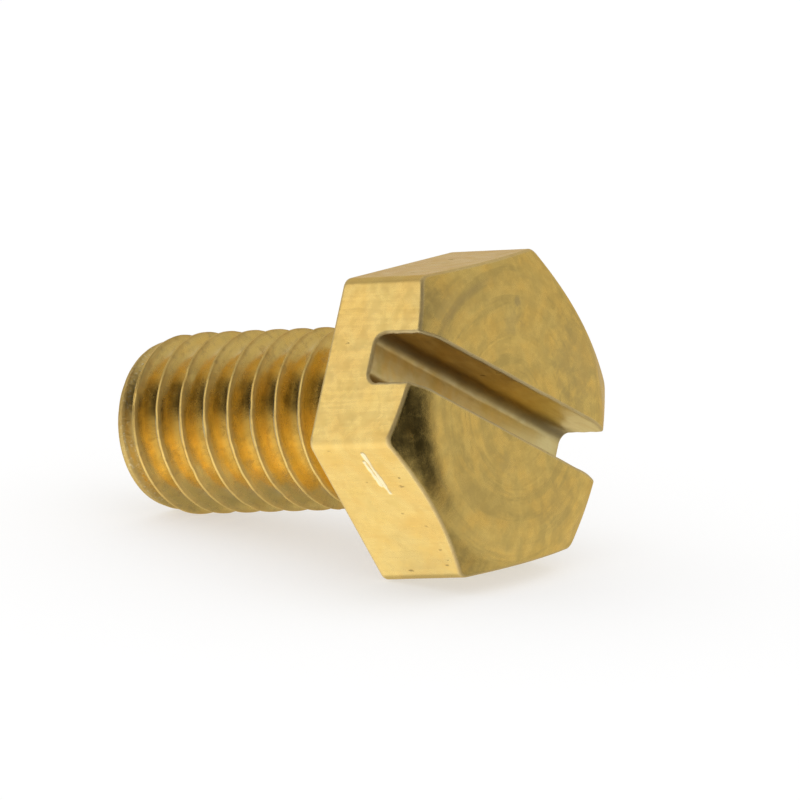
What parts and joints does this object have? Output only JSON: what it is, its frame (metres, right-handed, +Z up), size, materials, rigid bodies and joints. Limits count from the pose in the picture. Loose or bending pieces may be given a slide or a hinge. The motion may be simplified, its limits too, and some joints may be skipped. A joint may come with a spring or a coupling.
{
  "type": "slotted hex head machine screw",
  "caption": "Short machine screw with a chamfered hexagon head, a screwdriver slot across it, and a right-hand metric thread up to the head.",
  "frame": {"origin": "centre of the tip's flat end, on the screw's axis", "axes": "+X along the screw's axis from the tip to the head, +Z up and square to one of the hexagon's flats"},
  "size_m": [0.0145, 0.0112, 0.0098],
  "materials": {
    "brass": "bare machined brass, satin, with fine turning marks"
  },
  "bodies": {
    "root": {"slotted_hex_screw": "brass"}
  },
  "joints": []
}
